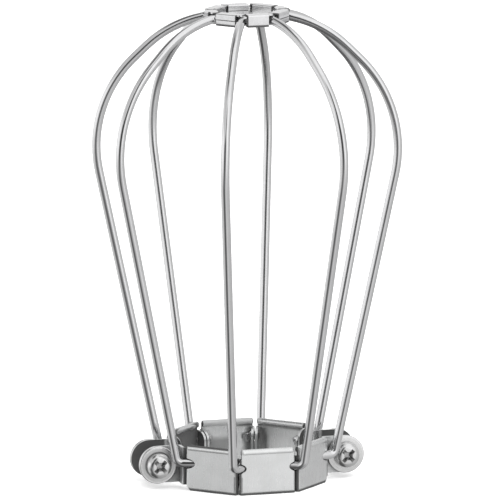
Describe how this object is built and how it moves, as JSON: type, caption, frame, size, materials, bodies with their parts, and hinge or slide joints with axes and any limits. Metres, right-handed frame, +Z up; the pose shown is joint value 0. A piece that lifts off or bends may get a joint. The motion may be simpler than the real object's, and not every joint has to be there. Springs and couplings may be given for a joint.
{
  "type": "bulb cage guard",
  "caption": "Wire cage guard for a light bulb: bent steel wires between a crown of folded clips and a hinged-link collar that screws tight around the lamp socket.",
  "frame": {"origin": "centre of the collar's bottom edge, on the cage axis", "axes": "+Z up the cage axis to the crown; the clamp screws lie at -X and +X with their heads towards -Y, the front"},
  "size_m": [0.0886, 0.0854, 0.1433],
  "materials": {
    "cage_wire": "bright zinc-plated drawn wire, smooth and glossy",
    "crown_clip": "bright zinc-plated folded sheet, satin",
    "collar_sheet": "bright zinc-plated sheet, satin with a fine rolling grain",
    "fastener": "bright zinc-plated machine hardware, glossy"
  },
  "bodies": {
    "cage": {"clip_back_left": "crown_clip", "clip_back_middle": "crown_clip", "clip_back_right": "crown_clip", "clip_front_left": "crown_clip", "clip_front_middle": "crown_clip", "clip_front_right": "crown_clip", "clip_left": "crown_clip", "clip_right": "crown_clip", "link_back_left": "collar_sheet", "link_back_middle": "collar_sheet", "link_back_right": "collar_sheet", "link_front_left": "collar_sheet", "link_front_middle": "collar_sheet", "link_front_right": "collar_sheet", "lug_back_left": "collar_sheet", "lug_back_right": "collar_sheet", "lug_front_left": "collar_sheet", "lug_front_right": "collar_sheet", "nut_left": "fastener", "nut_right": "fastener", "nut_washer_left": "fastener", "nut_washer_right": "fastener", "rib_back_left_inner": "cage_wire", "rib_back_left_outer": "cage_wire", "rib_back_right_inner": "cage_wire", "rib_back_right_outer": "cage_wire", "rib_front_left_inner": "cage_wire", "rib_front_left_outer": "cage_wire", "rib_front_right_inner": "cage_wire", "rib_front_right_outer": "cage_wire"},
    "left_head_washer": {"head_washer_left": "fastener"},
    "left_screw": {"screw_left": "fastener"},
    "right_head_washer": {"head_washer_right": "fastener"},
    "right_screw": {"screw_right": "fastener"}
  },
  "joints": [
    {"name": "left_screw_travel", "type": "slide", "parent": "cage", "child": "left_head_washer", "axis": [0, -1, 0], "range_m": [0, 0.0014]},
    {"name": "left_screw_turn", "type": "hinge", "parent": "left_head_washer", "child": "left_screw", "pos_m": [-0.0293, 0, 0.007], "axis": [0, -1, 0], "range_deg": [0, 720]},
    {"name": "right_screw_travel", "type": "slide", "parent": "cage", "child": "right_head_washer", "axis": [0, -1, 0], "range_m": [0, 0.0014]},
    {"name": "right_screw_turn", "type": "hinge", "parent": "right_head_washer", "child": "right_screw", "pos_m": [0.0293, 0, 0.007], "axis": [0, -1, 0], "range_deg": [0, 720]}
  ],
  "couplings": [
    {"joint": "left_screw_turn", "follows": "left_screw_travel", "rad_per_m": 8975.9},
    {"joint": "right_screw_turn", "follows": "right_screw_travel", "rad_per_m": 8975.9}
  ]
}
